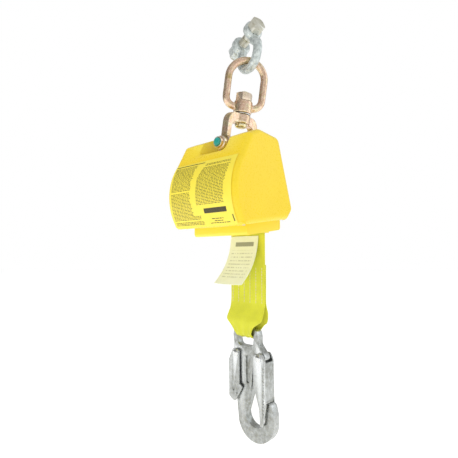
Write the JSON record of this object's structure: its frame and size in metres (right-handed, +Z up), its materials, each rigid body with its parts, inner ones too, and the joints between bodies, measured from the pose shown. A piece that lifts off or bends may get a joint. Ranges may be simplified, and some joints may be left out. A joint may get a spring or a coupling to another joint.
{
  "type": "self retracting web lifeline",
  "caption": "Yellow housing with a sprung web drum, hung by a clevis, swivel eye and anchor shackle; flat webbing ends in a double-locking snap hook.",
  "frame": {"origin": "centre of the anchor shackle's bolt, from which the whole lifeline hangs", "axes": "+Z up, +X along the drum's axle towards the housing's right end, -Y out of the printed front"},
  "size_m": [0.089, 0.0893, 0.4119],
  "materials": {
    "galvanised": "hot-dip galvanised, mottled satin",
    "bolt_steel": "oiled dark steel",
    "chromate": "yellow chromate over zinc, iridescent satin",
    "brass_rivet": "satin",
    "plug": "moulded",
    "shell": "moulded, semi-gloss",
    "label": "printed film",
    "pan": "moulded, satin",
    "guide": "moulded",
    "steel": "zinc plated",
    "lining": "friction lining",
    "aluminium": "machined",
    "spring_steel": "blued",
    "web": "woven polyester webbing",
    "tag": "coated fabric",
    "zinc": "zinc plated, satin",
    "rivet": "bright zinc"
  },
  "bodies": {
    "shackle": {"shackle_bow": "galvanised", "shackle_bolt": "bolt_steel", "shackle_nut": "galvanised", "shackle_cotter": "galvanised"},
    "eye": {"swivel_eye": "chromate"},
    "clevis": {"clevis": "chromate", "swivel_stud": "brass_rivet", "swivel_nut": "chromate", "swivel_washer": "steel", "clevis_pin": "chromate", "pin_plug": "plug", "pin_clip": "steel"},
    "housing": {"housing_shell": "shell", "warning_label": "label", "base_pan": "pan", "base_screw_1": "rivet", "base_screw_2": "rivet", "base_screw_3": "rivet", "base_screw_4": "rivet", "web_guide": "guide", "yoke": "steel", "side_plate_left": "steel", "side_plate_right": "steel", "frame_rivet_1": "rivet", "frame_rivet_2": "rivet", "frame_rivet_3": "rivet", "frame_rivet_4": "rivet", "axle_bush_left": "brass_rivet", "axle_bush_right": "brass_rivet", "ratchet_ring": "steel", "brake_lining": "lining", "spring_case": "aluminium", "spring_cover": "aluminium", "power_spring": "spring_steel", "web_inner_run": "web"},
    "drum": {"drum_axle": "steel", "drum_flange_left": "aluminium", "drum_flange_right": "aluminium", "web_pack": "web", "pawl_carrier": "steel", "pawl_pin_a": "rivet", "pawl_pin_b": "rivet"},
    "pawl_first": {"pawl_a": "steel"},
    "pawl_second": {"pawl_b": "steel"},
    "line": {"web_strap": "web", "web_tail": "web", "web_tag": "tag"},
    "hook": {"hook_body": "zinc", "gate_rivet": "rivet", "lever_rivet": "rivet", "gate_spring": "spring_steel", "lever_spring": "spring_steel"},
    "gate": {"gate": "zinc"},
    "lever": {"lock_lever": "zinc"}
  },
  "joints": [
    {"name": "eye_swing", "type": "hinge", "parent": "shackle", "child": "eye", "pos_m": [0.0017, -0.00055, -0.03218], "axis": [0.939, -0.3051, -0.1588], "range_deg": [-40, 40]},
    {"name": "swivel_spin", "type": "hinge", "parent": "eye", "child": "clevis", "pos_m": [0.0017, -0.00055, -0.03218], "axis": [0.1668, 0, 0.986], "continuous": true},
    {"name": "housing_pivot", "type": "hinge", "parent": "clevis", "child": "housing", "pos_m": [-0.01151, -0.00055, -0.11028], "axis": [0, 1, 0], "range_deg": [-34, 50]},
    {"name": "web_payout", "type": "slide", "parent": "housing", "child": "line", "axis": [0, 0, -1], "range_m": [0, 1.8], "stiffness_N_per_m": 6, "springref_m": -1.2, "deforming": ["web_strap"]},
    {"name": "drum_spin", "type": "hinge", "parent": "housing", "child": "drum", "pos_m": [-0.01151, -0.00805, -0.16028], "axis": [-1, 0, 0], "range_deg": [0, 4955]},
    {"name": "pawl_first_swing", "type": "hinge", "parent": "drum", "child": "pawl_first", "pos_m": [-0.01151, 0.00115, -0.16028], "axis": [-1, 0, 0], "range_deg": [0, 12], "stiffness_Nm_per_rad": 0.002, "springref_deg": -20.05},
    {"name": "pawl_second_swing", "type": "hinge", "parent": "drum", "child": "pawl_second", "pos_m": [-0.01151, -0.01725, -0.16028], "axis": [-1, 0, 0], "range_deg": [0, 12], "stiffness_Nm_per_rad": 0.002, "springref_deg": -20.05},
    {"name": "hook_swing", "type": "hinge", "parent": "line", "child": "hook", "pos_m": [-0.01151, 0.01445, -0.29528], "axis": [1, 0, 0], "range_deg": [-45, 45]},
    {"name": "gate_open", "type": "hinge", "parent": "hook", "child": "gate", "pos_m": [0.00702, 0.01445, -0.31808], "axis": [0, 1, 0], "range_deg": [0, 22], "stiffness_Nm_per_rad": 0.05, "springref_deg": -22.92},
    {"name": "lever_press", "type": "hinge", "parent": "hook", "child": "lever", "pos_m": [-0.02148, 0.01445, -0.31665], "axis": [0, 1, 0], "range_deg": [-7.2, 0], "stiffness_Nm_per_rad": 0.05, "springref_deg": 11.46}
  ],
  "couplings": [
    {"joint": "drum_spin", "follows": "web_payout", "rad_per_m": 48},
    {"joint": "pawl_second_swing", "follows": "pawl_first_swing", "ratio": 1},
    {"joint": "lever_press", "follows": "gate_open", "ratio": -0.318}
  ]
}
